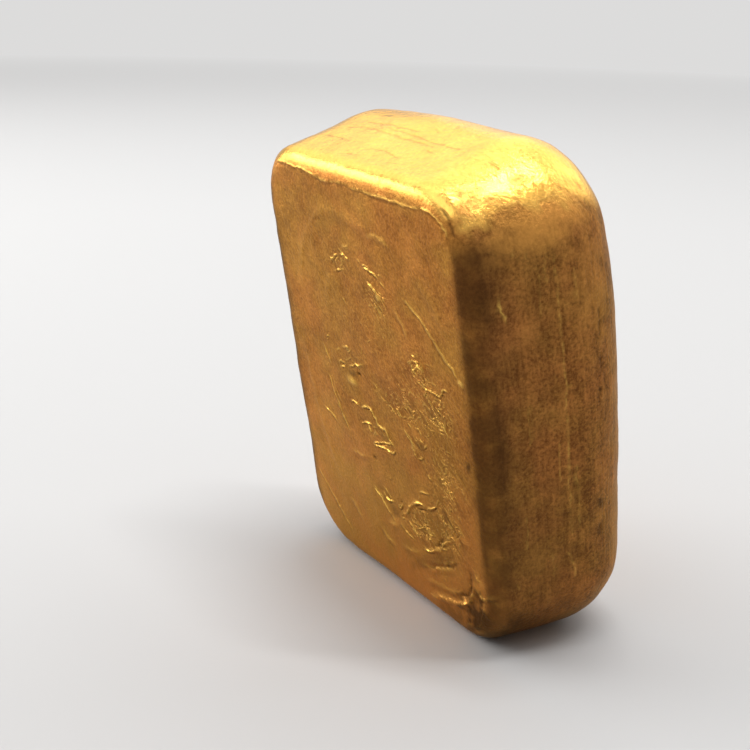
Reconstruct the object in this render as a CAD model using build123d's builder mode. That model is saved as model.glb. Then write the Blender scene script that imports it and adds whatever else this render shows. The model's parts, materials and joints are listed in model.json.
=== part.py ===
from build123d import *

import os
from math import cos, radians, sin

# A small hand-poured metal ingot, standing on one of its drafted ends.
# The flat cast face looks along -Y, the pour face looks along +Y, and +Z is up.
# Each side and end leans outwards from the cast face, so an ingot that stands
# on its end tips forward by the draft angle and the cast face overhangs.

# Driving dimensions, in millimetres and degrees
face_width = 32.8  # cast face, from side to side
face_length = 44.4  # cast face, from end to end
thickness = 16.8  # from the cast face to the pour face
draft_angle = 10.4  # lean of every side and end
corner_radius = 6.4  # plan corners of the cast face
side_bow = 0.6  # how far each long side swells at its middle
lip_radius = 2.0  # round between the cast face and the sides
shoulder_radius = 6.8  # meniscus round between the sides and the pour face
dish_width = 18.0  # shrinkage dish in the pour face, across the ingot
dish_length = 29.0  # the dish, along the ingot
dish_depth = 0.6  # how far the middle of the dish has sunk

# The cast face's own plane: its Y runs up the face, its Z runs into the metal.
lean = radians(draft_angle)
cast_plane = Plane(origin=(0, 0, 0), x_dir=(-1, 0, 0), z_dir=(0, cos(lean), sin(lean)))
pour_plane = cast_plane.offset(thickness)
inward_axis = Axis((0, 0, 0), cast_plane.z_dir)


def section_plane(height):
    """A plane across the ingot, at a height above its middle, with Y into the metal."""
    middle = pour_plane.from_local_coords((0, height, 0))
    return Plane(origin=middle, x_dir=pour_plane.x_dir, z_dir=pour_plane.y_dir)


def dish_section(plane):
    """The segment of metal that is missing from the pour face, in that section."""
    rim = dish_width / 2
    with BuildSketch(plane) as section:
        with BuildLine():
            ThreePointArc((-rim, 0), (0, dish_depth), (rim, 0))
            Line((rim, 0), (-rim, 0))
        make_face()
    return section.sketch


with BuildPart() as ingot:
    x = face_width / 2
    y = face_length / 2
    with BuildSketch(cast_plane) as cast_outline:
        with BuildLine():
            Line((-x, -y), (x, -y))
            ThreePointArc((x, -y), (x + side_bow, 0), (x, y))
            Line((x, y), (-x, y))
            ThreePointArc((-x, y), (-x - side_bow, 0), (-x, -y))
        make_face()
        fillet(cast_outline.vertices(), corner_radius)
    extrude(amount=thickness)
    walls = ingot.faces().sort_by(inward_axis)[1:-1]
    draft(walls, cast_plane, -draft_angle)

    pour_face = ingot.faces().sort_by(inward_axis)[-1]
    fillet(pour_face.edges(), shoulder_radius)
    cast_face = ingot.faces().sort_by(inward_axis)[0]
    fillet(cast_face.edges(), lip_radius)

    # The metal shrinks as it sets and leaves a shallow trough with round ends.
    trough_reach = (dish_length - dish_width) / 2
    extrude(
        dish_section(section_plane(0)), amount=trough_reach, both=True, mode=Mode.SUBTRACT
    )
    for end in (-trough_reach, trough_reach):
        end_plane = section_plane(end)
        middle_plane = Plane(origin=end_plane.origin, z_dir=end_plane.x_dir)
        half_section = split(dish_section(end_plane), bisect_by=middle_plane)
        dish_axis = Axis(end_plane.origin, pour_plane.z_dir)
        revolve(half_section, axis=dish_axis, mode=Mode.SUBTRACT)

# The origin is on the floor that the ingot stands on, under its middle.
box = ingot.part.bounding_box()
to_floor = Location((-box.center().X, -box.center().Y, -box.min.Z))
ingot.part = ingot.part.moved(to_floor)
ingot.part.label = "ingot"

os.makedirs("parts", exist_ok=True)
export_step(ingot.part, "parts/ingot.step")

print("volume in cubic centimetres", round(ingot.part.volume / 1000, 2))
print("size", ingot.part.bounding_box().size)
for face in (ingot.faces() | GeomType.PLANE).sort_by(Axis.Z):
    print("flat face centre", face.center(), "normal", face.normal_at(), "area", face.area)
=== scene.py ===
import json
from math import cos, pi, radians, sin, tan

import bmesh
import bpy
import numpy as np
from mathutils import Matrix, Vector, noise


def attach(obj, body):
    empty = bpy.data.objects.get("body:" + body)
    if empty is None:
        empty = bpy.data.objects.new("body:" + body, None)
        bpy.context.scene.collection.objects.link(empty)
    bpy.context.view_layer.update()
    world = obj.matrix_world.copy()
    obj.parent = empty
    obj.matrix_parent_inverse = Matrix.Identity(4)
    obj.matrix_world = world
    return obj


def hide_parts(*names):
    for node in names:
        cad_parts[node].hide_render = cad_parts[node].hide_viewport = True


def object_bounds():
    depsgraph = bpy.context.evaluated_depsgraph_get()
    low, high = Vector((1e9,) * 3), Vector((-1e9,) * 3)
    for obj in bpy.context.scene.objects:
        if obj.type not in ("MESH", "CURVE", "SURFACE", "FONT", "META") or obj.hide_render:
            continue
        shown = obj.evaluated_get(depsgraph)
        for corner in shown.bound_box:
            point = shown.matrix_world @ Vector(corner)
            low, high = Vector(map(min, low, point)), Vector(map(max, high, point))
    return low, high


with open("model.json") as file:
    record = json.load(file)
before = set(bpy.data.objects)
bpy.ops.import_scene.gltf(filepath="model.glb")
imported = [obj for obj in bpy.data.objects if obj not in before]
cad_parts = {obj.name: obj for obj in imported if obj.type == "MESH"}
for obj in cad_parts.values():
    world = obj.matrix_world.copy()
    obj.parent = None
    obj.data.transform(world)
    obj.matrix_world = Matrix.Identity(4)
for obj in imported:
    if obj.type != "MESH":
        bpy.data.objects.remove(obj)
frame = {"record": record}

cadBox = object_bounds()
mm = 0.001

# The ingot's own axes, read from the frame: across the cast face, into the metal, up the face
mounts = {mount["name"]: mount for mount in frame["record"]["mounts"]}
faceMiddle = Vector(mounts["cast_face"]["pos_m"])
intoMetal = -Vector(mounts["cast_face"]["axis"])
acrossFace = Vector((1, 0, 0))
upFace = acrossFace.cross(intoMetal)

# What shapes the ingot, in millimetres and degrees. A place on the cast face is (across, up)
# from its middle, on the right side (depth, up), and on the upper end (across, depth).
ingot = {
    "width": 32.8,
    "length": 44.4,
    "thickness": 16.8,
    "draft": 10.4,
    "corner": 6.4,
    "lip": 2.0,
    "shoulder": 6.8,
    "castBow": 0.1,  # swell of the long sides at the cast face
    "pourBow": 0.9,  # and at the pour face
    "dishRadius": 9.0,
    "dishReach": 5.5,  # half the straight part of the dish
    "dishDepth": 0.6,
    "rippleSpacing": 2.8,  # rings that the setting metal left around the dish
    "rippleHeight": 0.09,
    "rippleReach": 5.0,  # how far from the rim they fade
    "rippleDrift": 0.9,  # how far they stray from round
    "cornerCells": 10,  # how finely the block is cut
    "acrossCells": 40,
    "upCells": 64,
    "lipRows": 10,
    "wallRows": 16,
    "shoulderRows": 22,
    "markSearch": 1.0,  # a mark is looked for as far as this
    "strokeReach": 0.32,  # faces this near to a mark are cut once more
    "fineReach": 0.15,  # and these once again
    "pushes": [  # the hand-poured form isn't quite true: place, reach, shift
        ((-15.5, 1.0, 12.0), 11.0, (0.50, 0.0, 0.0)),
        ((-15.5, 1.0, -9.0), 6.0, (0.25, 0.0, 0.0)),
        ((16.0, 15.0, 5.0), 12.0, (0.22, 0.33, 0.0)),
        ((15.0, 14.0, 20.0), 4.5, (-0.12, -0.08, -0.05)),
        ((16.0, 15.0, 10.0), 6.0, (0.12, 0.08, 0.0)),
        ((-15.5, 1.0, 4.0), 6.0, (0.15, 0.0, 0.0)),
        ((15.0, 6.0, -21.0), 7.0, (0.0, 0.0, -0.40)),
        ((-2.0, 13.0, 23.0), 8.0, (0.0, 0.1, 0.40)),
        ((-14.5, 1.0, 22.0), 3.0, (-0.35, 0.0, 0.40)),
    ],
    "swells": [(0.09, 7.0, 3.1), (0.030, 1.8, 8.4)],  # height, spacing and seed
    "wander": [(0.16, 1.3, 5.0), (0.09, 0.4, 9.0)],  # of the marks: shift, spacing and seed
    "uneven": {  # middle, range, spacing, seed, least and most
        "broken": (0.6, 1.3, 0.8, 21.0, 0.1, 1.0),
        "grit": (0.8, 1.1, 0.3, 51.0, 0.0, 1.4),
        "swell": (0.85, 0.7, 0.6, 61.0, 0.5, 1.3),
    },
    "patches": {  # spacing and seed
        "blotch": (1.1, 41.0),
        "ragged": (2.6, 33.0),
    },
    "stroke": {  # shares of a mark's own width, height and shine
        "reach": 4.0,
        "endShare": 0.15,
        "crestShift": 0.3,
        "crestWidth": 0.8,
        "dipShift": 1.7,
        "dipDepth": 0.5,
        "dipShade": 0.75,
    },
    "strand": {  # thin lines beside a mark, as shares of its own values
        "aside": 1.6,
        "latest": 0.5,
        "width": 0.6,
        "height": 0.6,
        "shine": 0.8,
        "gaps": 0.5,
    },
    "tarnishAndReflection": {  # a dark band, partly tarnish and partly a painted dark reflection: it starts at the cast face's long edges and creeps onto the walls
        "foot": -24.0,
        "top": 20.0,
        "edgeStart": 13.6,
        "edgeReach": 1.2,
        "edgeTurn": 14.0,
        "turnStart": 6.0,
        "turnReach": 22.0,
        "lipDepth": 1.4,
        "nearShare": 0.45,
        "nearFoot": 1.7,
        "nearTop": 0.6,
        "farShare": 0.55,
        "farReach": 5.2,
        "endTop": 19.2,
        "endFade": 2.0,
        "ragged": 0.5,
        "darkFoot": 0.76,
        "darkTop": 0.86,
    },
    "polishAndSheen": {  # the upper end is smoother, and brighter with painted light, with a blotchy border across the corner rounds
        "border": 0.59,
        "perDepth": -0.020,
        "ragged": 0.20,
        "blotch": 0.16,
        "broken": 0.04,
        "fade": 0.28,
        "rimStart": 0.42,
        "rimFade": 0.2,
        "rimSteep": 0.93,
        "rimSteepFade": 0.05,
        "rimDull": 0.8,
    },
    # Marks that the setting metal left. Each family has a half width, a height, how strong a painted
    # highlight its crest gets (+) or how much painted shade its line gets (-), how broken its lines
    # are, and the number of thin strands that run beside each line.
    "marks": {
        "bright ridges": {"side": "cast", "width": 0.12, "height": 0.11, "shine": 1.0, "gaps": 0.35,
                          "strands": 2, "lines": [
            [(10.7, -5.9), (11.1, -6.4), (11.6, -6.8)],
            [(7.6, -5.8), (8.0, -6.0), (8.3, -6.0)],
            [(-4.8, -2.1), (-4.1, -2.0), (-3.3, -2.2)],
            [(-2.9, -2.2), (-2.0, -2.0), (-1.2, -1.95), (-0.8, -2.5), (-0.3, -2.75), (0, -3.2),
             (0.6, -3.4), (1.2, -3.35), (1.5, -3.8), (1.8, -4.4), (2.4, -4.9)],
            [(-3.3, -4.3), (-2.6, -3.9), (-1.9, -3.7), (-1.2, -3.7)],
            [(-2.1, -3.9), (-1.9, -4.3), (-1.5, -4.6)],
            [(-1.5, -5.9), (-1.0, -5.6), (-0.2, -5.3), (0.6, -5.0), (1.4, -4.8), (2.0, -4.7)],
            [(-1.5, -6.0), (-0.5, -5.8), (0.7, -5.6), (1.8, -5.6), (2.5, -5.2)],
            [(1.0, 13.1), (1.6, 13.2), (2.2, 13.1), (2.8, 12.95), (3.4, 12.6)],
            [(1.5, 11.9), (2.1, 11.7), (2.6, 11.3), (3.1, 10.9)],
            [(4.5, -10.1), (5.2, -9.7), (5.9, -9.5), (6.6, -9.7)],
            [(6.9, -9.8), (7.4, -9.5), (8.1, -9.1), (8.6, -8.7)],
            [(-2.6, -11.2), (-1.8, -11.6), (-1.2, -12.2), (-0.6, -12.8), (0.2, -13.4)],
            [(5.4, -15.0), (6.4, -14.6), (7.4, -14.2)],
            [(8.4, -13.3), (8.9, -12.8), (9.4, -12.4)],
            [(3.4, -12.7), (4.0, -13.0), (4.5, -13.4), (5.0, -13.8)],
            [(-0.9, -11.1), (-0.4, -11.5), (0.3, -11.6), (1.1, -11.5)],
            [(1.7, -11.6), (2.2, -11.6), (2.7, -11.1)],
            [(6.2, -12.3), (6.9, -12.5), (7.7, -12.4)],
            [(10.2, 0.1), (11.0, 0.1)],
            [(10.6, 0.9), (11.1, 0.6), (11.3, 0.2), (11.5, -0.5)],
            [(7.0, 5.6), (7.3, 5.0), (7.9, 4.6)],
            [(7.8, 5.9), (8.4, 5.4), (8.6, 4.9)],
            [(5.4, -2.5), (5.7, -3.0), (5.8, -3.6)],
            [(9.3, 0.7), (9.9, 0.9)],
            [(10.0, 1.15), (10.5, 1.35)],
            [(-7.9, -2.0), (-7.6, -2.7)],
            [(-7.4, -3.3), (-6.9, -3.9)],
            [(6.4, -4.4), (7.3, -4.2)],
            [(7.5, -3.0), (8.1, -2.6)],
        ]},
        "fine ridges": {"side": "cast", "width": 0.11, "height": 0.08, "shine": 0.85, "gaps": 0.6,
                        "strands": 1, "lines": [
            [(4.6, -12.1), (5.2, -12.2), (5.7, -12.5)],
            [(4.7, -12.9), (5.3, -12.6), (5.8, -12.3)],
            [(8.2, -13.3), (9.0, -13.3), (9.4, -13.0)],
            [(8.8, -14.4), (9.4, -14.2)],
            [(8.8, -10.4), (9.3, -10.3), (9.8, -10.0), (10.1, -9.8)],
            [(9.6, -10.9), (10.0, -10.5)],
            [(10.4, -10.9), (10.9, -10.6)],
            [(9.0, -9.4), (9.4, -9.8)],
            [(8.7, -8.6), (9.0, -8.0), (9.2, -7.8)],
            [(4.3, -10.5), (4.6, -11.0)],
            [(0.5, -4.0), (1.0, -4.1)],
            [(6.7, 5.3), (7.2, 5.7), (7.9, 5.8), (8.3, 5.5), (8.8, 5.2)],
            [(7.1, 4.9), (7.7, 5.3), (8.2, 5.4)],
            [(7.2, 6.5), (8.0, 6.2)],
            [(8.2, 3.9), (9.0, 3.6), (10.0, 3.5), (10.8, 3.55), (11.3, 3.9), (11.8, 4.4), (12.4, 4.4)],
            [(9.0, 3.5), (8.8, 3.0), (8.4, 2.8)],
            [(9.6, 1.9), (9.3, 2.4)],
            [(11.3, 0.6), (11.45, 1.5)],
            [(10.2, -0.4), (11.0, -0.2)],
            [(2.3, -0.35), (2.9, -0.4), (3.5, -0.9)],
            [(3.6, -0.15), (4.1, -0.4), (4.6, -0.7), (5.2, -0.5)],
            [(0.1, 1.3), (0.5, 1.1), (0.9, 0.85)],
            [(1.2, 0.5), (1.6, 0.1), (2.0, 0.0)],
            [(4.2, -2.0), (4.7, -2.1), (5.1, -2.7), (5.6, -3.3), (5.8, -3.9), (6.3, -4.5)],
            [(5.6, -3.6), (6.2, -3.3)],
            [(6.8, -2.1), (7.5, -2.5)],
            [(-5.9, 1.3), (-5.0, 1.4)],
            [(-4.9, 1.95), (-5.8, 1.95), (-6.0, 1.6)],
            [(-4.1, 1.9), (-3.4, 2.1), (-2.9, 2.4), (-2.2, 2.4), (-1.8, 2.7), (-1.3, 2.75)],
            [(-5.0, 3.6), (-4.3, 3.8), (-3.8, 4.1)],
            [(-8.1, 3.9), (-7.3, 4.2)],
            [(-5.0, 12.6), (-4.4, 12.95), (-3.8, 13.2)],
            [(-4.2, 13.2), (-3.5, 13.5)],
            [(-3.0, 13.6), (-2.3, 13.75), (-1.8, 13.55), (-1.3, 13.5)],
            [(-2.3, 14.55), (-1.7, 14.7), (-1.2, 14.85)],
            [(-4.5, 11.7), (-3.8, 11.95), (-3.2, 12.15)],
            [(0.0, 13.8), (0.5, 13.8), (0.8, 13.5)],
            [(3.4, 12.5), (3.9, 12.2), (4.3, 11.95)],
            [(3.4, 13.0), (3.9, 13.2)],
            [(3.7, 11.0), (4.1, 10.5)],
            [(1.6, 11.3), (1.9, 11.0)],
            [(2.3, 9.7), (2.8, 9.9)],
            [(3.3, 9.3), (3.8, 9.0)],
            [(-3.6, 9.1), (-3.0, 8.8)],
            [(-0.6, -10.3), (-0.1, -10.7), (0.7, -11.3)],
            [(0.6, -8.9), (1.1, -8.7)],
            [(5.7, -8.9), (5.8, -9.4)],
            [(5.7, -8.3), (6.4, -8.1), (7.2, -7.9), (7.7, -7.7)],
            [(8.6, -8.7), (8.9, -8.2)],
            [(3.4, -12.0), (3.6, -11.3), (4.0, -10.7)],
            [(2.0, -12.9), (2.7, -12.7)],
            [(4.6, -12.1), (5.1, -12.1)],
            [(6.4, -13.1), (7.2, -13.2)],
            [(8.6, -13.4), (9.3, -13.1)],
            [(9.4, -11.9), (10.0, -11.5), (10.7, -11.2)],
            [(4.3, -10.9), (4.8, -11.2)],
            [(1.8, -13.4), (3.0, -14.2), (4.0, -14.5)],
        ]},
        "swirl folds": {"side": "cast", "width": 0.26, "height": 0.09, "shine": 0.3, "gaps": 0.4,
                        "lines": [
            [(5.4, -15.0), (6.4, -14.6), (7.4, -14.2), (8.1, -13.8), (8.6, -13.3), (9.1, -12.7),
             (9.6, -12.2), (10.3, -11.7), (11.0, -11.2)],
            [(2.0, -12.5), (3.0, -12.0), (3.5, -11.5), (3.8, -10.8), (4.5, -10.2), (5.4, -9.7),
             (6.2, -9.6)],
            [(6.0, -12.1), (6.9, -12.35), (7.8, -12.1)],
            [(5.5, -8.3), (5.75, -8.8), (5.7, -9.4)],
        ]},
        "long lines": {"side": "cast", "width": 0.15, "height": 0.07, "shine": 0.62, "gaps": 0.4,
                       "strands": 1, "lines": [
            [(7.0, 11.6), (7.7, 11.2), (8.8, 10.6), (9.8, 9.9), (11, 8.6), (12.2, 7.6), (13.3, 6.7),
             (14.0, 6.1)],
            [(-8.9, 3.0), (-8.5, 2.3), (-8.0, 1.4), (-7.9, 0.9)],
            [(-8.8, -0.5), (-8.2, -1.3), (-7.5, -2.7), (-6.8, -4.3), (-5.8, -6.0)],
            [(-10.6, -4.7), (-9.7, -5.0), (-9.0, -5.3), (-8.3, -5.8)],
            [(-14.2, -13.7), (-12.2, -15.8), (-10.2, -17.7), (-8.5, -19.6)],
            [(0.2, -13.4), (1.0, -13.9)],
        ]},
        "soft ridges": {"side": "cast", "width": 0.32, "height": 0.07, "shine": 0.3, "gaps": 0.3,
                        "lines": [
            [(2.2, 16.3), (3.0, 16.6), (4.0, 16.7), (5.0, 16.5), (5.8, 16.0)],
            [(5, 10.2), (6, 9.5), (7, 7.8)],
            [(-8, -14.8), (-6.5, -16), (-5.8, -17)],
            [(-6, -8.2), (-4.5, -8.2), (-3, -7.9)],
            [(-0.8, -14.6), (0.2, -14.4), (1.2, -14.1)],
            [(13.2, -13.2), (14.0, -14.2), (14.9, -14.6)],
            [(5.0, -18.6), (7.5, -18.1), (9.8, -17.6), (11.2, -16.9)],
            [(4.5, -17.0), (6.5, -16.6), (8.5, -15.8), (10.2, -14.9)],
            [(6.5, -15.9), (8.5, -15.2), (10.0, -14.3), (11.2, -13.4)],
            [(13.3, -15.2), (13.8, -14.2), (14.4, -13.2)],
            [(13.6, -16.6), (14.6, -17.4), (15.6, -18.2)],
            [(1.5, -16.4), (3.2, -16.2), (4.8, -15.6)],
            [(-2.5, -15.6), (-1.2, -16.6), (0.4, -17.2)],
        ]},
        "flow bands": {"side": "cast", "width": 0.65, "height": 0.07, "shine": 0.06, "gaps": 0.2,
                       "lines": [
            [(-11.5, 9), (-10.5, 12.5), (-8.5, 15), (-6, 17.2), (-3, 17.8), (0, 17.3), (4, 17.2)],
            [(-9, 12), (-8.2, 14), (-6.5, 15.8), (-4, 16.4)],
            [(-13, 2), (-12.4, -3), (-11.5, -8), (-9.5, -12.5)],
            [(9, 14.5), (11, 12.4), (12.6, 9.8)],
            [(-7, 6.5), (-6.4, 9.5), (-5.2, 11.5)],
        ]},
        "foot fold": {"side": "cast", "width": 0.4, "height": 0.2, "shine": 0.16, "gaps": 0.15,
                      "lines": [
            [(5.3, -20.2), (6.5, -20.0), (8.0, -19.4), (9.0, -19.0), (10.0, -18.8), (11.0, -18.3),
             (11.9, -17.8), (12.5, -17.2), (12.8, -16.4), (13.0, -15.6)],
        ]},
        "fold crest": {"side": "cast", "width": 0.22, "height": 0.13, "shine": 0.42, "gaps": 0.4,
                       "lines": [
            [(10.6, -18.5), (11.9, -17.8), (12.5, -17.2), (12.8, -16.4), (13.0, -15.6)],
            [(13.1, -15.5), (13.8, -15.6), (14.5, -15.9), (15.3, -15.6), (16.2, -15.3)],
        ]},
        "foot edge": {"side": "cast", "width": 0.14, "height": 0.06, "shine": 0.45, "gaps": 0.4,
                      "lines": [
            [(14.5, -16.3), (14.3, -17.3), (14.0, -18.5), (13.6, -19.3), (12.8, -20.0), (11.5, -20.3)],
        ]},
        "grooves": {"side": "cast", "width": 0.3, "height": -0.16, "shine": -0.7, "gaps": 0.4,
                    "lines": [
            [(7.2, -13.95), (8.2, -13.1), (8.8, -12.5), (9.4, -11.8)],
            [(5.5, -16.9), (6.5, -16.5), (7.3, -16.0), (8.3, -15.5), (9.3, -15.0), (10.2, -14.4),
             (11.0, -13.6)],
            [(10.3, -17.7), (11.4, -17.2), (12.2, -16.6), (12.6, -15.7), (12.8, -14.6), (13.1, -13.6)],
            [(13.3, -15.6), (13.5, -16.4), (13.4, -17.4)],
        ]},
        "slits": {"side": "cast", "width": 0.11, "height": -0.1, "shine": -0.9, "gaps": 0.3, "lines": [
            [(-0.6, -5.45), (0.2, -5.25), (1.0, -5.1)],
            [(2.2, -11.0), (2.7, -10.7)],
            [(9.3, -9.3), (9.25, -9.9)],
            [(5.2, -10.5), (6.0, -10.25), (7.0, -9.95)],
            [(11.2, -11.2), (11.5, -10.7), (11.8, -10.2)],
            [(8.6, 4.8), (8.8, 4.1)],
            [(6.0, -11.9), (7.3, -11.8)],
            [(3.9, 10.4), (4.1, 10.0)],
            [(-5.7, 1.65), (-5.1, 1.7)],
            [(13.4, 20.9), (14.2, 20.2), (14.9, 19.3), (15.2, 18.6)],
        ]},
        "mould line": {"side": "cast", "width": 0.12, "height": 0.06, "shine": 0.5, "gaps": 0.15,
                       "lines": [
            [(-13, 20.7), (-12, 21.0), (-8, 21.0), (-6, 20.8), (-4, 20.5), (-1, 20.7), (3, 20.5),
             (6, 20.55), (9.3, 20.4), (11.5, 20.6), (13, 20.2), (14, 19.5), (14.6, 18.8)],
        ]},
        "side ridges": {"side": "right", "width": 0.11, "height": 0.05, "shine": 0.34, "gaps": 0.8,
                        "lines": [
            [(7.7, 16), (7.7, 12), (7.6, 8), (7.7, 4), (7.6, 0), (7.6, -4), (7.7, -8), (7.8, -11)],
            [(6.9, 16.2), (6.8, 13.6)],
            [(6.2, 15.4), (6.2, 12.8), (6.1, 10.9)],
            [(8.4, -3.5), (8.5, -7), (8.6, -10.5)],
            [(9.3, 14.6), (9.4, 11.6)],
            [(4.2, 3.2), (4.2, -0.6)],
            [(6.8, 5.5), (6.9, 4.6)],
            [(6.8, -1), (6.7, -3), (6.8, -5)],
            [(3.5, -7.3), (3.4, -11)],
            [(5.8, -12), (5.7, -14.5)],
            [(7.0, -12.5), (7.5, -12.8), (7.8, -14), (7.9, -15.5)],
        ]},
        "side glints": {"side": "right", "width": 0.16, "height": 0.1, "shine": 0.9, "gaps": 0.3,
                        "lines": [
            [(2.5, 13.3), (2.8, 12.2), (3.0, 11.1)],
            [(4.0, 16.6), (4.3, 16.7)],
            [(5.2, 16.2), (5.4, 16.25)],
            [(2.0, -14.2), (2.3, -14.7)],
            [(-0.9, -14.1), (-0.4, -14.8), (0.1, -15.5), (0.5, -16.1)],
        ]},
        "side cracks": {"side": "right", "width": 0.16, "height": -0.1, "shine": -0.9, "gaps": 0.5,
                        "lines": [
            [(11.5, 10.2), (11.5, 9), (11.4, 7.4)],
            [(11.5, 6.2), (11.4, 4.2)],
            [(11.1, 3.2), (10.9, 1.4)],
            [(10.9, 0), (10.6, -1.5)],
            [(10.8, -10.5), (10.9, -11.8)],
            [(8.8, -5.4), (9.0, -5.7)],
            [(9.9, 9.2), (10.3, 8.7)],
        ]},
        "end wrinkles": {"side": "top", "width": 0.11, "height": -0.03, "shine": -0.42, "gaps": 0.15,
                         "lines": [
            [(-9, 6.1), (-7, 6.6), (-5, 6.6), (-2.5, 6.4), (0.5, 6.2), (3, 6.2), (5.5, 6.1)],
            [(-3.5, 7.2), (-1, 7.0), (2, 6.9), (4, 6.7), (6, 6.7), (8.5, 6.6)],
            [(-7.5, 7.6), (-5.5, 7.7), (-3.5, 7.6)],
            [(-10, 4.1), (-8, 4.3), (-5, 4.1)],
            [(-2, 3.1), (-1, 3.5), (1, 3.8), (3, 3.4), (4, 3.4)],
            [(12.6, 0.8), (13, 1.4), (13.8, 2.4), (14.5, 3.2)],
            [(-5, 7.9), (-2, 7.6), (1, 7.7)],
            [(12, 6.4), (14, 6.4)],
            [(-8, 9.2), (-5.5, 9.5)],
            [(2, 8.6), (3.4, 8.2)],
            [(5, 5.4), (6.6, 5.2)],
            [(-3, 2.0), (-1.6, 2.3)],
        ]},
    },
    "beads": [  # on the cast face: across, up, half length, half width, height
        (-3.9, 0.35, 0.75, 0.38, 0.2),
        (14.3, 5.8, 0.32, 0.26, 0.08),
        (3.0, 10.8, 0.35, 0.3, 0.08),
        (3.1, 7.05, 0.25, 0.1, 0.04),
        (-1.9, 13.55, 0.3, 0.08, 0.04),
        (-4.0, 4.0, 0.22, 0.08, 0.05),
        (-2.5, 2.4, 0.3, 0.1, 0.05),
        (5.8, -3.6, 0.3, 0.25, 0.06),
        (9.0, 3.6, 0.25, 0.12, 0.05),
        (-2.5, 1.4, 0.26, 0.18, -0.3),
        (4.7, 18.8, 0.18, 0.16, -0.1),
        (-1.6, -7.3, 0.25, 0.15, -0.08),
    ],
    "beadGrit": 0.3,
    "beadShine": 0.8,
    "stains": [  # side, middle, half length, half width, angle, darkness (negative: a bright patch of painted sheen)
        ("cast", (13.5, -18.6), 3.3, 1.6, 42, 0.9),
        ("cast", (9.6, -20.4), 2.8, 0.7, 12, 0.5),
        ("cast", (7.2, -15.5), 3.6, 0.7, 32, 0.42),
        ("cast", (14.3, -2.2), 0.6, 0.3, 80, 0.8),
        ("cast", (7.0, -2.9), 0.6, 0.35, 0, 0.5),
        ("cast", (-4.0, 1.1), 1.2, 0.3, 5, 0.45),
        ("cast", (5.2, 1.4), 1.8, 0.7, 5, 0.25),
        ("cast", (0.2, -11.9), 1.4, 0.5, -35, 0.3),
        ("cast", (7.0, -11.4), 2.6, 1.0, 10, 0.22),
        ("cast", (0.4, -4.1), 1.3, 0.4, -20, 0.25),
        ("cast", (11.2, -17.4), 1.4, 0.35, 25, 0.6),
        ("right", (10.8, -8.7), 0.9, 0.36, 90, 0.9),
        ("right", (10.7, -11.4), 0.6, 0.3, 90, 0.7),
        ("right", (10.2, -12.6), 0.2, 0.15, 0, 0.6),
        ("right", (8.8, -3.6), 2.2, 0.6, 90, 0.35),
        # painted shade: the right wall darker low down
        ("right", (4.5, -11.0), 7.5, 4.0, 90, 0.42),
        ("right", (0.4, 17.0), 3.0, 0.8, 90, 0.2),
        ("right", (1.5, 10.5), 2.5, 1.2, 90, 0.25),
        ("right", (3.5, 19.2), 1.8, 0.5, 10, 0.18),
        ("right", (5.4, 20.2), 1.0, 0.4, 0, 0.15),
        # painted sheen: brighter patches high on the right wall
        ("right", (7.2, 18.5), 4.2, 1.4, 10, -0.5),
        ("right", (11.0, 13.5), 5.0, 1.8, 86, -0.22),
        ("right", (4.6, 9.5), 6.0, 0.5, 88, -0.1),
        ("cast", (-10.5, -5.0), 6.0, 1.6, 100, -0.1),
        ("cast", (-11.5, 9.0), 5.0, 1.2, 82, -0.1),
        ("cast", (5.5, -16.9), 3.6, 0.8, 18, -0.18),
        ("cast", (0.5, -14.0), 1.2, 0.4, 30, -0.35),
        ("cast", (10.4, -11.5), 0.9, 0.35, 30, -0.4),
        ("cast", (12.4, -10.6), 0.6, 0.2, 0, -0.3),
        ("cast", (3.2, -11.6), 1.8, 0.45, 55, -0.22),
        ("cast", (14.2, -14.6), 0.9, 0.5, 60, -0.45),
    ],
    "stainEdge": 1.6,
    "stainRagged": 0.9,
    "flecks": {  # clusters of short wrinkles, with painted glints on them
        "clusters": [  # across, up, reach across, reach up, count, angle
            (-3.2, 12.9, 1.6, 1.0, 16, 20),
            (2.6, 10.4, 1.1, 1.5, 26, -50),
            (-3.6, 2.6, 2.0, 0.9, 8, 20),
            (7.9, 4.8, 1.6, 1.4, 24, -35),
            (9.8, 1.8, 2.0, 1.8, 44, -20),
            (6.6, -2.6, 1.6, 1.8, 14, -40),
            (-0.4, -4.2, 1.6, 1.0, 8, -10),
            (6.2, -12.2, 2.6, 1.6, 36, 5),
            (10.4, -10.2, 1.6, 2.8, 46, 60),
            (6.0, 0.8, 4.0, 2.0, 26, 25),
            (10.6, -5.4, 2.0, 3.4, 24, 30),
            (1.0, 7.0, 4.5, 4.0, 6, 20),
        ],
        "width": 0.085,
        "height": 0.045,
        "shine": 0.8,
        "shortest": 0.25,
        "longest": 1.1,
        "smallest": 0.4,
        "gaps": 0.5,
        "turnSpread": 28,
        "sag": 0.25,
        "crinkleFade": 0.6,
        "fullCount": 36,  # a cluster of as many is wrinkled all over
    },
    "pourStreaks": 0.8,  # the share of the streaks that is missing on the pour face
    "seed": 11,  # of the strands and the short wrinkles
    "wanderSeed": 1795823667,  # of the marks, which would follow the clock without it
}

capSide = 0.4999  # past this the cut cube is the cast face or the pour face
farAway = 1e3
tiny = 1e-9

# Each side of the ingot: the two axes that its marks lie along, and the way it faces
sides = {
    "cast": ((0, 2), (0, -1, 0)),
    "right": ((1, 2), (1, 0, 0)),
    "top": ((0, 1), (0, 0, 1)),
}


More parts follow.
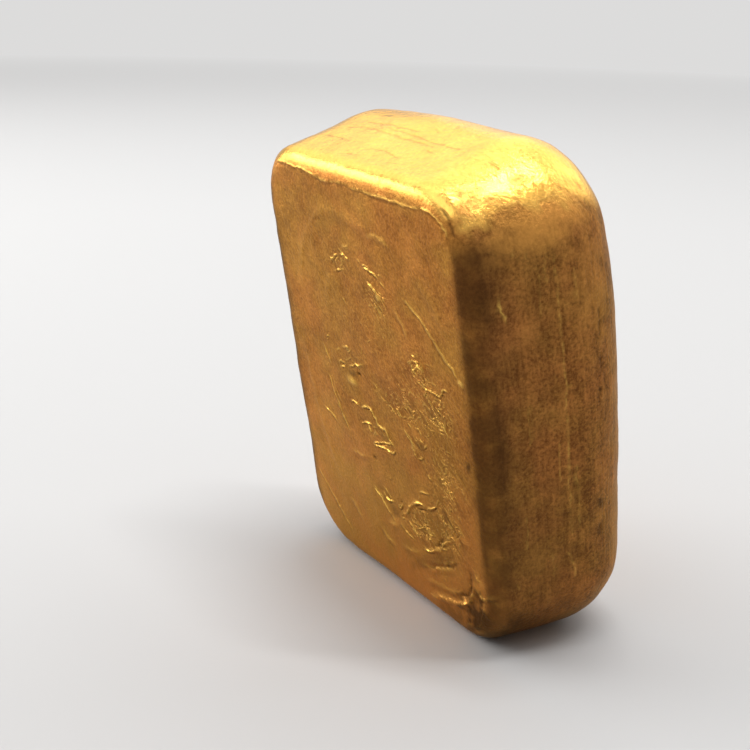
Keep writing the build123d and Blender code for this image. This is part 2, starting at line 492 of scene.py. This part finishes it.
# A cube cut into rows and columns, with faces only on its outside
def gridBlock(cells):
    bm = bmesh.new()
    bmesh.ops.create_cube(bm, size=1.0)
    for axis, count in enumerate(cells):
        along = [e for e in bm.edges if abs(e.verts[0].co[axis] - e.verts[1].co[axis]) > 0.9]
        bmesh.ops.subdivide_edges(bm, edges=along, cuts=count - 1, use_grid_fill=True)
    return bm


def refine(bm, wanted):
    edges = {edge for face in wanted for edge in face.edges}
    bmesh.ops.subdivide_edges(bm, edges=list(edges), cuts=1, use_grid_fill=True)


# A smooth line through given points
def smoothLine(points, steps=6):
    knots = np.array(points, float)
    knots = np.vstack([2 * knots[0] - knots[1], knots, 2 * knots[-1] - knots[-2]])
    line = []
    for a, b, c, d in zip(knots, knots[1:], knots[2:], knots[3:]):
        for t in np.linspace(0, 1, steps, endpoint=False):
            line.append(0.5 * (2 * b + (c - a) * t + (2 * a - 5 * b + 4 * c - d) * t**2
                               + (3 * b - a - 3 * c + d) * t**3))
    line.append(knots[-2])
    return np.array(line)


# How far each place is from a line, how far along the line its nearest point is, and its length
def nearLine(places, line, reach):
    away = np.full(len(places), farAway)
    along = np.zeros(len(places))
    lengths = np.hypot(*np.diff(line, axis=0).T)
    starts = np.concatenate([[0], np.cumsum(lengths)])
    low, high = line.min(axis=0) - reach, line.max(axis=0) + reach
    near = np.flatnonzero(((places > low) & (places < high)).all(axis=1))
    here = places[near]
    best, where = away[near], along[near]
    for start, end, length, before in zip(line, line[1:], lengths, starts):
        direction = (end - start) / length
        step = np.clip((here - start) @ direction, 0, length)
        distance = np.hypot(*(here - start - step[:, None] * direction).T)
        closer = distance < best
        best[closer] = distance[closer]
        where[closer] = (before + step)[closer]
    away[near], along[near] = best, where
    return away, along, starts[-1]


# The marks' lines, the thin strands beside them and the short wrinkles, as smooth lines
def allStrokes():
    strokes = []
    strand, flecks = ingot["strand"], ingot["flecks"]
    dice = np.random.default_rng(ingot["seed"])
    for family in ingot["marks"].values():
        for points in family["lines"]:
            line = smoothLine(points)
            strokes.append({**family, "line": line})
            for _ in range(family.get("strands", 0)):
                start = int(dice.uniform(0, strand["latest"]) * (len(line) - 2))
                part = line[start:start + 2 + len(line) // 2]
                aside = dice.normal(0, strand["aside"] * family["width"], 2)
                strokes.append({"line": part + aside, "side": family["side"],
                                "width": strand["width"] * family["width"],
                                "height": strand["height"] * family["height"],
                                "shine": strand["shine"] * family["shine"],
                                "gaps": strand["gaps"]})
    for across, up, reachAcross, reachUp, count, angle in flecks["clusters"]:
        for _ in range(count):
            drift = dice.normal(0, 0.5, 2) * (reachAcross, reachUp)
            middle = np.array([across, up]) + drift
            turn = radians(angle + dice.normal(0, flecks["turnSpread"]))
            half = dice.uniform(flecks["shortest"], flecks["longest"]) / 2
            reach = half * np.array([cos(turn), sin(turn)])
            sag = dice.normal(0, flecks["sag"]) * half * np.array([-sin(turn), cos(turn)])
            size = dice.uniform(flecks["smallest"], 1.0)
            strokes.append({"line": smoothLine([middle - reach, middle + sag, middle + reach], 3),
                            "side": "cast",
                            "width": flecks["width"] * (0.7 + 0.5 * size),
                            "height": flecks["height"] * size,
                            "shine": flecks["shine"] * size,
                            "gaps": flecks["gaps"]})
    print("marks:", len(strokes), "lines")
    return strokes


# Where a point of the cut cube lies on the ingot, and its outward direction
def form(cube):
    draft = radians(ingot["draft"])
    slope = tan(draft)
    lip, shoulder, corner = ingot["lip"], ingot["shoulder"], ingot["corner"]
    lipRows, wallRows, shoulderRows = ingot["lipRows"], ingot["wallRows"], ingot["shoulderRows"]

    # the section of a wall: the lip's arc, the drafted wall and the shoulder's arc
    row = (cube[:, 1] + 0.5) * (lipRows + wallRows + shoulderRows)
    lipShare = np.clip(row / lipRows, 0, 1)
    wallShare = np.clip((row - lipRows) / wallRows, 0, 1)
    shoulderShare = np.clip((row - lipRows - wallRows) / shoulderRows, 0, 1)
    turnLip = -pi / 2 + lipShare * (pi / 2 - draft)
    turnShoulder = -draft + shoulderShare * (pi / 2 + draft)
    turn = np.where(shoulderShare > 0, turnShoulder, turnLip)
    shoulderMiddle = ingot["thickness"] - shoulder
    outLip = slope * lip - lip / cos(draft) + lip * np.cos(turnLip)
    depthLip = lip + lip * np.sin(turnLip)
    outShoulder = slope * shoulderMiddle - shoulder / cos(draft) + shoulder * np.cos(turnShoulder)
    depthShoulder = shoulderMiddle + shoulder * np.sin(turnShoulder)
    out = outLip + (outShoulder - outLip) * wallShare
    depth = depthLip + (depthShoulder - depthLip) * wallShare

    # the plan: a rounded rectangle that grows with the section
    straight, bend = [], []
    for axis, cells, size in ((0, ingot["acrossCells"], ingot["width"]),
                              (2, ingot["upCells"], ingot["length"])):
        count = np.abs(cube[:, axis]) * (cells + 2 * ingot["cornerCells"])
        straight.append(np.clip(count / (cells / 2), 0, 1) * (size / 2 - corner))
        bend.append(np.clip((count - cells / 2) / ingot["cornerCells"], 0, 1))
    roundX = np.sign(cube[:, 0]) * bend[0] * np.sqrt(1 - bend[1] ** 2 / 2)
    roundZ = np.sign(cube[:, 2]) * bend[1] * np.sqrt(1 - bend[0] ** 2 / 2)
    x = np.sign(cube[:, 0]) * straight[0] + (corner + out) * roundX
    z = np.sign(cube[:, 2]) * straight[1] + (corner + out) * roundZ
    bow = ingot["castBow"] + (ingot["pourBow"] - ingot["castBow"]) * depth / ingot["thickness"]
    swell = bow * (1 - (2 * z / ingot["length"]) ** 2)
    x = x * (1 + swell / (ingot["width"] / 2))

    level = np.cos(turn) / (np.hypot(roundX, roundZ) + tiny)
    normal = np.stack([level * roundX, np.sin(turn), level * roundZ], 1)
    normal[cube[:, 1] < -capSide] = (0, -1, 0)
    normal[cube[:, 1] > capSide] = (0, 1, 0)
    return np.stack([x, depth, z], 1), normal


def fractal(places, spacing, octaves, seed):
    offset = Vector((seed, seed * 1.7, -seed))
    return np.array([noise.fractal(Vector(place) / spacing + offset, 0.9, 2.0, octaves)
                     for place in places])


# Small wandering shifts that keep drawn lines from looking drawn
def waver(places, shift, spacing, seed):
    offset = Vector((seed, 0, 0))
    drift = [noise.noise_vector(Vector(place) / spacing + offset) for place in places]
    return places + shift * np.array(drift)


# A cut cube, finer over the cast face and near the marks
def cutBlock(strokes):
    bm = gridBlock((ingot["acrossCells"] + 2 * ingot["cornerCells"],
                    ingot["lipRows"] + ingot["wallRows"] + ingot["shoulderRows"],
                    ingot["upCells"] + 2 * ingot["cornerCells"]))
    refine(bm, [face for face in bm.faces if face.calc_center_median().y < -capSide])
    for reach in (ingot["strokeReach"], ingot["fineReach"]):
        bm.faces.ensure_lookup_table()
        places, normals = form(np.array([face.calc_center_median() for face in bm.faces]))
        nearest = np.full(len(places), farAway)
        for stroke in strokes:
            axes, facing = sides[stroke["side"]]
            away, _, _ = nearLine(places[:, axes], stroke["line"], ingot["markSearch"])
            away[normals @ facing < 0.5] = farAway
            nearest = np.minimum(nearest, away)
        refine(bm, [bm.faces[i] for i in np.flatnonzero(nearest < reach)])
    print("block:", len(bm.faces), "faces")
    return bm


# The plain surface of the bar, and the layers that its marks, stains, painted highlights and painted
# shade are kept in
def plainSurface(cube):
    places, normals = form(cube)
    surface = {"places": places, "normals": normals, "pourFace": cube[:, 1] > capSide}
    noise.seed_set(ingot["wanderSeed"])
    wavy = places
    for shift, spacing, seed in ingot["wander"]:
        wavy = waver(wavy, shift, spacing, seed)
    surface["wavy"] = wavy
    for name, (middle, spread, spacing, seed, least, most) in ingot["uneven"].items():
        surface[name] = np.clip(middle + spread * fractal(places, spacing, 2, seed), least, most)
    for name, (spacing, seed) in ingot["patches"].items():
        surface[name] = fractal(places, spacing, 3, seed)
    surface["cast"] = np.clip(-normals[:, 1], 0, 1)
    for name in ("raised", "shine", "shade", "paintedSheen", "crinkle"):
        surface[name] = np.zeros(len(places))
    return surface


def darken(surface, shade):
    surface["shade"] = np.maximum(surface["shade"], shade)


def brighten(surface, shine):
    surface["shine"] = np.maximum(surface["shine"], shine)


# Ridges stand up, with a painted highlight on the upper side of the crest and painted shade in a dip
# under them, and grooves are sunk with painted shade
def pressStrokes(surface, strokes):
    shares = ingot["stroke"]
    whole = surface["broken"] * surface["grit"]
    for stroke in strokes:
        axes, facing = sides[stroke["side"]]
        flat, line, width = surface["wavy"][:, axes], stroke["line"], stroke["width"]
        wide = width * surface["swell"]
        reach = shares["reach"] * width
        away, along, length = nearLine(flat, line, reach)
        strength = np.clip(surface["normals"] @ facing, 0, 1) * (1 - stroke["gaps"] * (1 - whole))
        strength *= np.clip(np.minimum(along, length - along) / reach + shares["endShare"], 0, 1)
        bump = np.exp(-(away / wide) ** 2) * strength
        surface["raised"] += stroke["height"] * bump
        if stroke["shine"] > 0:
            above, _, _ = nearLine(flat - (0, shares["crestShift"] * width), line, reach)
            crest = np.exp(-(above / (shares["crestWidth"] * wide)) ** 2) * strength
            brighten(surface, stroke["shine"] * crest)
            below, _, _ = nearLine(flat + (0, shares["dipShift"] * width), line, reach)
            dip = np.exp(-(below / wide) ** 2) * strength
            surface["raised"] -= shares["dipDepth"] * stroke["height"] * dip
            darken(surface, shares["dipShade"] * stroke["shine"] * dip)
        else:
            darken(surface, -stroke["shine"] * bump)


# Beads stand up with a painted highlight, pits are sunk with painted shade
def pressBeads(surface):
    for across, up, longer, shorter, height in ingot["beads"]:
        away = np.hypot((surface["wavy"][:, 0] - across) / longer,
                        (surface["wavy"][:, 2] - up) / shorter)
        bump = np.exp(-away ** 3) * surface["cast"]
        bump *= np.clip(ingot["beadGrit"] + surface["grit"], 0, 1)
        surface["raised"] += height * bump
        if height > 0:
            brighten(surface, ingot["beadShine"] * bump)
        else:
            darken(surface, bump)


# Dark patches, some stains and some painted shade, and bright patches of painted sheen, with blotchy
# edges
def stain(surface):
    for side, middle, longer, shorter, angle, darkness in ingot["stains"]:
        axes, facing = sides[side]
        turn = radians(angle)
        spread = surface["places"][:, axes] - middle
        along = spread @ (cos(turn), sin(turn)) / longer
        aside = spread @ (-sin(turn), cos(turn)) / shorter
        ragged = ingot["stainRagged"] * surface["blotch"]
        inside = np.clip(ingot["stainEdge"] - np.hypot(along, aside) + ragged, 0, 1)
        inside *= np.clip(surface["normals"] @ facing, 0, 1)
        darken(surface, darkness * inside)
        surface["paintedSheen"] = np.maximum(surface["paintedSheen"], -darkness * inside)


def crinkleClusters(surface):
    flecks = ingot["flecks"]
    for across, up, reachAcross, reachUp, count, _ in flecks["clusters"]:
        away = (((surface["places"][:, 0] - across) / reachAcross) ** 2
                + ((surface["places"][:, 2] - up) / reachUp) ** 2)
        share = np.exp(-flecks["crinkleFade"] * away) * min(count / flecks["fullCount"], 1)
        surface["crinkle"] = np.maximum(surface["crinkle"], share * surface["cast"])


# A dark band on the walls beside the cast face's long edges: partly tarnish, partly a painted dark
# reflection
def tarnishAndReflectionWalls(surface):
    tarnishAndReflection, places, normals = ingot["tarnishAndReflection"], surface["places"], surface["normals"]
    upward = np.clip((places[:, 2] - tarnishAndReflection["foot"]) / (tarnishAndReflection["top"] - tarnishAndReflection["foot"]), 0, 1)
    nearEdge = (np.abs(places[:, 0]) - tarnishAndReflection["edgeStart"]) / tarnishAndReflection["edgeReach"]
    turn = np.degrees(np.arctan2(np.abs(normals[:, 0]), -normals[:, 1]))
    turn += tarnishAndReflection["edgeTurn"] * np.clip(nearEdge, 0, 1)
    band = np.clip((turn - tarnishAndReflection["turnStart"]) / tarnishAndReflection["turnReach"], 0, 1)
    inward = np.maximum(places[:, 1] - tarnishAndReflection["lipDepth"], 0)
    nearReach = tarnishAndReflection["nearFoot"] + (tarnishAndReflection["nearTop"] - tarnishAndReflection["nearFoot"]) * upward
    band *= (tarnishAndReflection["nearShare"] * np.exp(-inward / nearReach)
             + tarnishAndReflection["farShare"] * np.exp(-inward / tarnishAndReflection["farReach"]))
    band *= np.clip((tarnishAndReflection["endTop"] - places[:, 2]) / tarnishAndReflection["endFade"], 0, 1)
    band *= 1 + tarnishAndReflection["ragged"] * surface["ragged"]
    dark = tarnishAndReflection["darkFoot"] + (tarnishAndReflection["darkTop"] - tarnishAndReflection["darkFoot"]) * upward
    darken(surface, dark * np.clip(band, 0, 1))


# The upper end: smoother gold, and a brighter colour that is painted light
def polishAndSheenEnd(surface):
    polishAndSheen, normals = ingot["polishAndSheen"], surface["normals"]
    border = polishAndSheen["border"] + polishAndSheen["perDepth"] * surface["places"][:, 1]
    for name in ("ragged", "blotch", "broken"):
        border += polishAndSheen[name] * surface[name]
    level = np.hypot(normals[:, 0], normals[:, 2])
    steep = normals[:, 2] / (level + tiny)
    share = np.clip((steep - border) / polishAndSheen["fade"], 0, 1)
    share *= np.clip(3 * (1 - surface["cast"]), 0, 1) * np.clip(2 * level, 0, 1)
    rim = np.clip((normals[:, 1] - polishAndSheen["rimStart"]) / polishAndSheen["rimFade"], 0, 1)
    rim *= np.clip((steep - polishAndSheen["rimSteep"]) / polishAndSheen["rimSteepFade"], 0, 1)
    surface["polishAndSheen"] = share * share * (3 - 2 * share) * (1 - polishAndSheen["rimDull"] * rim)


# The shrinkage dish in the pour face, with soft rings around it
def sinkDish(surface):
    places, radius, depth = surface["places"], ingot["dishRadius"], ingot["dishDepth"]
    reach = np.maximum(np.abs(places[:, 2]) - ingot["dishReach"], 0)
    away = np.hypot(places[:, 0], reach)
    ball = (radius**2 + depth**2) / (2 * depth)
    sunk = np.sqrt(ball**2 - np.minimum(away, radius) ** 2) - ball + depth
    surface["raised"] -= np.where(surface["pourFace"], sunk, 0)
    drift = ingot["rippleDrift"] * surface["ragged"]
    rings = np.cos(2 * pi * (away + drift) / ingot["rippleSpacing"])
    rings *= np.exp(-((away - radius) / ingot["rippleReach"]) ** 2)
    rings *= np.clip(surface["normals"][:, 1], 0, 1) ** 3
    surface["raised"] += ingot["rippleHeight"] * rings


# The relief's height moves each point outwards, and broad pushes bend the whole bar
def placeInFrame(surface):
    places = surface["places"] + surface["normals"] * surface["raised"][:, None]
    for middle, reach, shift in ingot["pushes"]:
        away = np.linalg.norm(places - middle, axis=1)
        places = places + np.exp(-(away / reach) ** 2)[:, None] * np.array(shift)
    world = np.array(faceMiddle) + places @ np.array([acrossFace, intoMetal, upFace]) * mm
    world[:, 2] = np.maximum(world[:, 2], cadBox[0].z)
    return world


# The mesh of the cast bar, with its relief, and its finishes, painted highlights and painted shade as
# attributes
def castBar():
    strokes = allStrokes()
    bm = cutBlock(strokes)
    surface = plainSurface(np.array([vert.co for vert in bm.verts]))
    pressStrokes(surface, strokes)
    pressBeads(surface)
    stain(surface)
    for height, spacing, seed in ingot["swells"]:
        surface["raised"] += height * fractal(surface["places"], spacing, 3, seed)
    crinkleClusters(surface)
    tarnishAndReflectionWalls(surface)
    polishAndSheenEnd(surface)
    sinkDish(surface)
    # the share of the walls, where the gold takes its darker wall copy of painted shade, and the
    # streaks
    towardsPour = np.clip(surface["normals"][:, 1], 0, 1)
    surface["wallStreaksAndShade"] = 1 - surface["cast"] - ingot["pourStreaks"] * towardsPour**2

    for vert, place in zip(bm.verts, placeInFrame(surface)):
        vert.co = place
    bmesh.ops.recalc_face_normals(bm, faces=bm.faces)
    for face in bm.faces:
        face.smooth = True
    mesh = bpy.data.meshes.new("cast_bar")
    bm.to_mesh(mesh)
    bm.free()
    for name in ("shine", "shade", "wallStreaksAndShade", "polishAndSheen", "crinkle", "paintedSheen"):
        layer = mesh.attributes.new(name, "FLOAT", "POINT")
        layer.data.foreach_set("value", surface[name].astype(np.float32))
    bar = bpy.data.objects.new("cast_bar", mesh)
    bpy.context.scene.collection.objects.link(bar)
    print("cast bar:", len(mesh.vertices), "vertices,",
          sum(len(polygon.vertices) - 2 for polygon in mesh.polygons), "triangles")
    return bar


# Short names for what the node trees are made of
class Tree:
    def __init__(self, owner):
        owner.use_nodes = True
        self.tree = owner.node_tree
        self.tree.nodes.clear()

    def add(self, kind, links=None, **settings):
        node = self.tree.nodes.new(kind)
        for key, value in settings.items():
            setattr(node, key, value)
        for socket, value in (links or {}).items():
            if isinstance(value, bpy.types.NodeSocket):
                self.tree.links.new(value, node.inputs[socket])
            else:
                node.inputs[socket].default_value = value
        return node

    def math(self, operation, first, second=0.0):
        return self.add("ShaderNodeMath", {0: first, 1: second}, operation=operation).outputs[0]

    def product(self, *values):
        total = values[0]
        for value in values[1:]:
            total = self.math("MULTIPLY", total, value)
        return total

    # Socket and share pairs, added up
    def sum(self, *parts):
        total = 0.0
        for value, share in zip(parts[::2], parts[1::2]):
            total = self.add("ShaderNodeMath", {0: value, 1: share, 2: total},
                             operation="MULTIPLY_ADD").outputs[0]
        return total

    # The stretch of a value from low to high, spread over first to last
    def spread(self, value, stretch, first=0.0, last=1.0):
        node = self.add("ShaderNodeMapRange", {
            "Value": value, "From Min": stretch[0], "From Max": stretch[1],
            "To Min": first, "To Max": last})
        return node.outputs[0]

    def mix(self, share, first, second, blend="MIX"):
        node = self.add("ShaderNodeMix", {0: share, 6: first, 7: second},
                        data_type="RGBA", blend_type=blend)
        return node.outputs[2]

    # Noise whose features have that size along their own turned axes, in metres
    def noise(self, place, size, turn=(0, 0, 0), detail=3.0, roughness=0.5, distortion=0.0):
        sizes = size if isinstance(size, tuple) else (size, size, size)
        turned = self.add("ShaderNodeMapping", {
            "Vector": place, "Rotation": turn, "Scale": sizes}, vector_type="TEXTURE")
        node = self.add("ShaderNodeTexNoise", {
            "Vector": turned.outputs[0], "Scale": 1.0, "Detail": detail,
            "Roughness": roughness, "Distortion": distortion})
        return node.outputs["Fac"]

    def bump(self, height, depth, strength, under=None):
        node = self.add("ShaderNodeBump", {
            "Height": height, "Distance": depth, "Strength": strength})
        if under:
            self.tree.links.new(under, node.inputs["Normal"])
        return node.outputs[0]

    # 1 for what the camera sees directly or in the metal, 0 for the light that falls on it
    def seen(self):
        path = self.add("ShaderNodeLightPath")
        return self.math("MAXIMUM", path.outputs["Is Camera Ray"], path.outputs["Is Glossy Ray"])


gold = {
    "deep": (0.22, 0.080, 0.014, 1),  # the cast face's tarnish, from deep to bright
    "bright": (0.57, 0.252, 0.050, 1),
    "footBright": (0.62, 0.292, 0.066, 1),
    # the walls take a darker copy of the gold: painted shade
    "sideDeep": (0.12, 0.044, 0.012, 1),
    "sideBright": (0.49, 0.214, 0.054, 1),
    # the upper end's gold: a brighter copy, painted light
    "endDeep": (0.70, 0.36, 0.070, 1),
    "endBright": (0.88, 0.52, 0.110, 1),
    # the colour of painted highlights on crests, beads and wrinkles
    "highlightColour": (1.0, 0.61, 0.13, 1),
    # the dark colour of painted shade, of the wall band and of the dark stains
    "crevice": (0.060, 0.024, 0.008, 1),
    "olive": (0.96, 1.03, 0.97, 1),  # tints over broad patches of the tarnish
    "russet": (1.04, 0.97, 1.03, 1),
    "paintedSheen": (0.90, 0.42, 0.090, 1),
    "edgeTint": (0.98, 0.86, 0.68, 1),
    "roughness": 0.42,
    "endRoughness": 0.17,
    "polishedRoughness": 0.19,
    "patchSize": 0.0030,
    "tintSize": 0.0075,
    "speckSize": 0.00030,
    "fibreSize": (0.0016, 0.00035, 0.00035),
    "wrinkleSize": (0.0022, 0.0010, 0.00075),
    "streakSize": (0.0005, 0.0005, 0.014),
    "flowAngle": 40,  # wrinkles and fibres run down to the right on the cast face
    "facePatches": 0.42,  # what the mottle of the cast face is made of
    "faceSpecks": 0.46,
    "faceFibres": 0.12,
    "faceContrast": (0.36, 0.64),
    "sidePatches": 0.32,  # and that of the walls, whose streaks are partly grain and partly painted reflection
    "sideSpecks": 0.42,
    "sideStreaks": 0.26,
    "sideContrast": (0.41, 0.63),
    "tintContrast": (0.40, 0.60),
    "liftHeights": (0.020, 0.002),  # painted light: the cast face grows paler from the first height down
    "lift": 0.7,
    "wrinkleLine": 0.035,
    "gleamSpecks": (0.46, 0.60),  # only the brighter specks of a wrinkle get a painted glint
    "wrinkleShadeWaves": (0.55, 0.25),
    "wrinkleShadeLevel": 0.9,
    "grainDepth": 0.00008,
    "grainSpecks": 0.8,
    "grainFibres": 0.2,
    "grainPolished": -0.75,  # the polished end is smoother
    "wrinkleDepth": 0.00010,
    "streakDepth": 0.00010,
}


def goldMaterial():
    material = bpy.data.materials.new("cast_gold")
    t = Tree(material)
    place = t.add("ShaderNodeTexCoord").outputs["Object"]
    shine, shade, wallStreaksAndShade, polishAndSheen, crinkle, paintedSheen = [
        t.add("ShaderNodeAttribute", attribute_name=name).outputs["Fac"]
        for name in ("shine", "shade", "wallStreaksAndShade", "polishAndSheen", "crinkle", "paintedSheen")]

    # tarnish in patches, specks, slanted fibres, and streaks up the sides, the streaks partly painted
    # reflection
    flow = (0, radians(gold["flowAngle"]), 0)
    lean = (radians(ingot["draft"]), 0, 0)
    patches = t.noise(place, gold["patchSize"], detail=6.0, roughness=0.72)
    specks = t.noise(place, gold["speckSize"], roughness=0.7)
    fibres = t.noise(place, gold["fibreSize"], flow, roughness=0.65)
    streaks = t.noise(place, gold["streakSize"], lean, detail=4.0, roughness=0.6)
    faceMottle = t.sum(patches, gold["facePatches"], specks, gold["faceSpecks"],
                       fibres, gold["faceFibres"])
    sideMottle = t.sum(patches, gold["sidePatches"], specks, gold["sideSpecks"],
                       streaks, gold["sideStreaks"])
    faceShare = t.spread(faceMottle, gold["faceContrast"])
    sideShare = t.spread(sideMottle, gold["sideContrast"])

    # hair-like wrinkles, where the metal set in folds, with painted glints along them and painted
    # shade between them
    wave = t.noise(place, gold["wrinkleSize"], flow, roughness=0.55, distortion=0.6)
    offLine = t.math("ABSOLUTE", t.math("SUBTRACT", wave, 0.5))
    wrinkles = t.spread(offLine, (gold["wrinkleLine"], 0.0))
    wrinkleGleam = t.product(wrinkles, crinkle, t.spread(specks, gold["gleamSpecks"]))
    wrinkleShade = t.product(crinkle, t.spread(wave, gold["wrinkleShadeWaves"]), gold["wrinkleShadeLevel"])
    gleam = t.math("MAXIMUM", shine, wrinkleGleam)
    dark = t.math("MAXIMUM", shade, wrinkleShade)

    # painted light: the cast face grows paler towards its foot
    height = t.add("ShaderNodeSeparateXYZ", {0: place}).outputs["Z"]
    lift = t.product(t.spread(height, gold["liftHeights"]), gold["lift"])
    face = t.mix(lift, t.mix(faceShare, gold["deep"], gold["bright"]), gold["footBright"])
    # the walls: a darker copy of the gold, painted shade
    side = t.mix(sideShare, gold["sideDeep"], gold["sideBright"])
    # the upper end takes its brighter gold of painted light
    end = t.mix(faceShare, gold["endDeep"], gold["endBright"])
    tints = t.noise(place, gold["tintSize"], detail=4.0, roughness=0.65)
    tint = t.mix(t.spread(tints, gold["tintContrast"]), gold["olive"], gold["russet"])
    tarnishAndWallShade = t.mix(1.0, t.mix(wallStreaksAndShade, face, side), tint, "MULTIPLY")
    body = t.mix(polishAndSheen, t.mix(paintedSheen, tarnishAndWallShade, gold["paintedSheen"]), end)
    # painted highlights mix in the highlight colour; painted shade, the wall band and the stains mix
    # in the crevice colour
    colour = t.mix(dark, t.mix(gleam, body, gold["highlightColour"]), gold["crevice"])

    endRough = t.spread(polishAndSheen, (0.0, 1.0), gold["roughness"], gold["endRoughness"])
    rough = t.spread(gleam, (0.0, 1.0), endRough, gold["polishedRoughness"])
    grain = t.sum(specks, gold["grainSpecks"], fibres, gold["grainFibres"])
    grainShare = t.sum(polishAndSheen, gold["grainPolished"], 1.0, 1.0)
    relief = t.bump(grain, gold["grainDepth"], grainShare)
    relief = t.bump(wrinkles, gold["wrinkleDepth"], crinkle, relief)
    relief = t.bump(streaks, gold["streakDepth"], wallStreaksAndShade, relief)
    shader = t.add("ShaderNodeBsdfPrincipled", {
        "Base Color": colour, "Metallic": 1.0, "Roughness": rough,
        "Specular Tint": gold["edgeTint"], "Normal": relief})
    t.add("ShaderNodeOutputMaterial", {"Surface": shader.outputs[0]})
    print("gold:", len(material.node_tree.nodes), "nodes")
    return material


# The studio: floor, dome, lamps and camera
studio = {
    "floorColour": (0.59, 0.585, 0.58, 1),
    "backdropColour": (0.72, 0.715, 0.71, 1),
    "floorRoughness": 0.9,
    "floorRadius": 8.0,
    "floorSegments": 96,
    "fade": (0.20, 0.80),  # over these distances the floor turns into the even backdrop
    "worldLevel": 0.12,
    "lamps": [  # name, place, aim, width, depth, brightness
        ("overheadLamp", (-0.08, 0.36, 0.54), (0, 0, 0.045), 0.70, 0.28, 1.1),
        ("streakLamp", (0.08, 0.06, 0.61), (0, 0, 0.045), 0.032, 0.36, 46.0),
        ("endLamp", (-0.36, 0.04, 0.49), (0, 0, 0.045), 0.48, 0.68, 1.3),
        ("lipLamp", (-0.10, -0.36, 0.50), (0, 0, 0.045), 0.70, 0.36, 1.2),
        ("rippleLamp", (-0.42, -0.31, 0.18), (0, 0, 0.02), 0.36, 0.26, 5.6),
        ("cornerLamp", (0.06, 0.60, 0.40), (0, 0, 0.04), 0.44, 0.36, 1.2),
        ("cornerFill", (0.36, 0.08, 0.56), (0, 0, 0.045), 0.26, 0.26, 0.7),
        ("backLamp", (-0.34, 0.56, 0.38), (0, 0, 0.04), 0.66, 0.44, 1.2),
    ],
    "cameraPlace": (0.0857, -0.06563, 0.05953),
    "cameraAzimuth": 56.09,
    "cameraElevation": 19.04,
    "cameraRoll": 1.65,
    "cameraNear": 0.005,
    "lens": 55.2,
}


# A pale floor that turns into the backdrop's even colour where the camera or the metal sees it
def paleFloor():
    bm = bmesh.new()
    bmesh.ops.create_circle(
        bm, cap_ends=True, segments=studio["floorSegments"], radius=studio["floorRadius"])
    mesh = bpy.data.meshes.new("floor")
    bm.to_mesh(mesh)
    bm.free()
    floor = bpy.data.objects.new("floor", mesh)
    bpy.context.scene.collection.objects.link(floor)
    material = bpy.data.materials.new("pale_floor")
    mesh.materials.append(material)
    t = Tree(material)
    place = t.add("ShaderNodeTexCoord").outputs["Object"]
    distance = t.add("ShaderNodeVectorMath", {0: place}, operation="LENGTH").outputs["Value"]
    shader = t.add("ShaderNodeBsdfPrincipled", {
        "Base Color": studio["floorColour"], "Roughness": studio["floorRoughness"]})
    backdrop = t.add("ShaderNodeEmission", {"Color": studio["backdropColour"]})
    faded = t.product(t.spread(distance, studio["fade"]), t.seen())
    mixed = t.add("ShaderNodeMixShader", {
        0: faded, 1: shader.outputs[0], 2: backdrop.outputs[0]})
    t.add("ShaderNodeOutputMaterial", {"Surface": mixed.outputs[0]})
    return floor


def paleDome():
    world = bpy.data.worlds.new("dome")
    bpy.context.scene.world = world
    t = Tree(world)
    dome = t.add("ShaderNodeBackground", {
        "Color": (1, 1, 1, 1), "Strength": studio["worldLevel"]})
    backdrop = t.add("ShaderNodeBackground", {"Color": studio["backdropColour"]})
    mixed = t.add("ShaderNodeMixShader", {
        0: t.seen(), 1: dome.outputs[0], 2: backdrop.outputs[0]})
    t.add("ShaderNodeOutputWorld", {"Surface": mixed.outputs[0]})


def hangLamps():
    for name, place, aim, width, depth, brightness in studio["lamps"]:
        light = bpy.data.lights.new(name, "AREA")
        light.shape = "RECTANGLE"
        light.size, light.size_y = width, depth
        light.energy = brightness * pi * width * depth
        lamp = bpy.data.objects.new(name, light)
        lamp.location = place
        lamp.rotation_euler = (Vector(place) - Vector(aim)).to_track_quat("Z", "Y").to_euler()
        bpy.context.scene.collection.objects.link(lamp)


def placeCamera():
    scene = bpy.context.scene
    scene.view_settings.view_transform = "Standard"
    camera = bpy.data.objects.new("camera", bpy.data.cameras.new("camera"))
    camera.data.lens = studio["lens"]
    camera.data.clip_start = studio["cameraNear"]
    camera.matrix_world = (
        Matrix.Translation(studio["cameraPlace"])
        @ Matrix.Rotation(radians(studio["cameraAzimuth"]), 4, "Z")
        @ Matrix.Rotation(radians(90 - studio["cameraElevation"]), 4, "X")
        @ Matrix.Rotation(radians(studio["cameraRoll"]), 4, "Z"))
    scene.collection.objects.link(camera)
    scene.camera = camera


bar = castBar()
bar.data.materials.append(goldMaterial())
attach(bar, "root")
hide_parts("ingot")

floor = paleFloor()
paleDome()
hangLamps()
placeCamera()
print("studio:", len(studio["lamps"]), "lamps")
